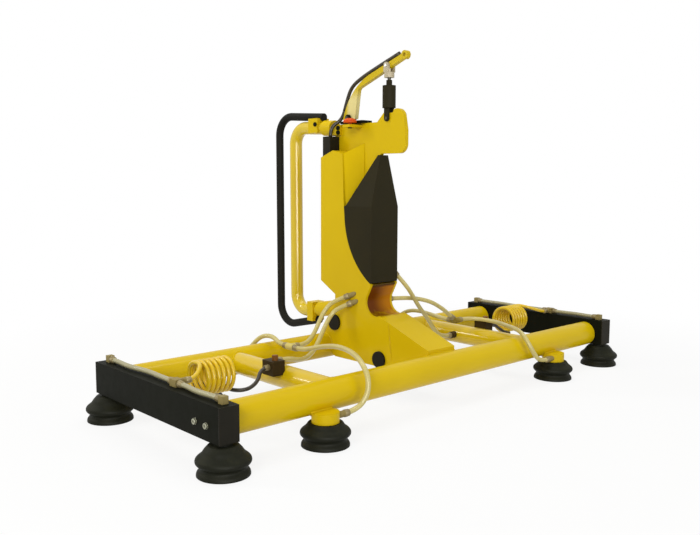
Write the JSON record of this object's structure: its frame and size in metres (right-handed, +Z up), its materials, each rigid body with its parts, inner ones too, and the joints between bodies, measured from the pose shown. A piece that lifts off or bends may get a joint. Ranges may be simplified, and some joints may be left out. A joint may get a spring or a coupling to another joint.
{
  "type": "glass panel lifter",
  "caption": "Vacuum lifter for flat panels: ladder frame with suction cups, sliding end bars, a central column with a D handle and a hinged suspension arm.",
  "frame": {"origin": "centre of the cup pattern on the plane of the cup lips", "axes": "+X along the main tubes to the right-hand bar, +Y to the handle, +Z up away from the panel"},
  "size_m": [1.618, 0.8451, 0.971],
  "materials": {
    "yellow_paint": "gloss yellow paint on steel",
    "black_paint": "satin black paint on steel",
    "black_plastic": "fine matte moulding",
    "grip_rubber": "satin black sleeve",
    "cup_rubber": "matte moulded rubber",
    "steel": "plated and turned",
    "bronze": "turned bush",
    "pale_hose": "milky flexible tube",
    "dark_hose": "dark flexible tube",
    "yellow_hose": "coiled flexible tube",
    "red_plastic": "moulded mushroom button"
  },
  "bodies": {
    "frame": {"air_inlet_block": "black_plastic", "arm_bracket": "black_paint", "base_plugs": "black_plastic", "column_fittings": "black_plastic", "column_flanks": "yellow_paint", "column_stiffeners": "yellow_paint", "cup_sockets": "yellow_paint", "d_tube": "yellow_paint", "front_tube": "yellow_paint", "grip_bar": "grip_rubber", "grip_clamps": "yellow_paint", "handle_bolts": "black_paint", "hose_manifolds": "black_plastic", "hose_tee": "black_plastic", "inlet_hose": "dark_hose", "left_coil_hose": "yellow_hose", "left_cross_tube": "yellow_paint", "left_cup_hoses": "pale_hose", "left_feed_hoses": "pale_hose", "left_side_plate": "yellow_paint", "left_tube_cups": "cup_rubber", "lower_handle_bracket": "yellow_paint", "nose_plate": "yellow_paint", "pivot_pins": "steel", "rear_cover": "yellow_paint", "rear_tube": "yellow_paint", "right_coil_hose": "yellow_hose", "right_cross_tube": "yellow_paint", "right_cup_hoses": "pale_hose", "right_feed_hoses": "pale_hose", "right_side_plate": "yellow_paint", "right_tube_cups": "cup_rubber", "slide_bushes": "bronze", "socket_elbows": "black_plastic", "throat_cover": "black_plastic", "throat_web": "yellow_paint", "upper_handle_bracket": "yellow_paint", "vacuum_generator": "black_plastic", "vacuum_reservoir": "steel"},
    "left_bar": {"left_bar": "black_paint", "left_bar_caps": "black_plastic", "left_slide_rods": "steel", "left_bar_bolts": "steel", "left_bar_hoses": "pale_hose", "left_bar_fittings": "black_plastic", "left_bar_cups": "cup_rubber"},
    "right_bar": {"right_bar": "black_paint", "right_bar_caps": "black_plastic", "right_slide_rods": "steel", "right_bar_bolts": "steel", "right_bar_hoses": "pale_hose", "right_bar_fittings": "black_plastic", "right_bar_cups": "cup_rubber"},
    "arm": {"suspension_arm": "yellow_paint", "arm_hose": "dark_hose", "rod_pin": "steel"},
    "barrel": {"cylinder_barrel": "black_paint"},
    "rod": {"cylinder_rod": "steel", "rod_end": "steel"},
    "button": {"release_button": "red_plastic"}
  },
  "joints": [
    {"name": "left_bar_slide", "type": "slide", "parent": "frame", "child": "left_bar", "axis": [-1, 0, 0], "range_m": [0, 0.2], "deforming": ["left_coil_hose"]},
    {"name": "right_bar_slide", "type": "slide", "parent": "frame", "child": "right_bar", "axis": [1, 0, 0], "range_m": [0, 0.2], "deforming": ["right_coil_hose"]},
    {"name": "arm_hinge", "type": "hinge", "parent": "frame", "child": "arm", "pos_m": [0, 0.163, 0.797], "axis": [-1, 0, 0], "range_deg": [-2, 6], "deforming": ["inlet_hose"]},
    {"name": "cylinder_hinge", "type": "hinge", "parent": "frame", "child": "barrel", "pos_m": [0, 0.002, 0.788], "axis": [-1, 0, 0], "range_deg": [-1.9, 5.5]},
    {"name": "rod_slide", "type": "slide", "parent": "barrel", "child": "rod", "axis": [0, 0, 1], "range_m": [-0.0058, 0.017]},
    {"name": "button_press", "type": "slide", "parent": "frame", "child": "button", "axis": [0, 0, -1], "range_m": [0, 0.004], "stiffness_N_per_m": 800}
  ],
  "couplings": [
    {"joint": "cylinder_hinge", "follows": "arm_hinge", "ratio": 0.91},
    {"joint": "rod_slide", "follows": "arm_hinge", "m_per_rad": 0.1606}
  ]
}
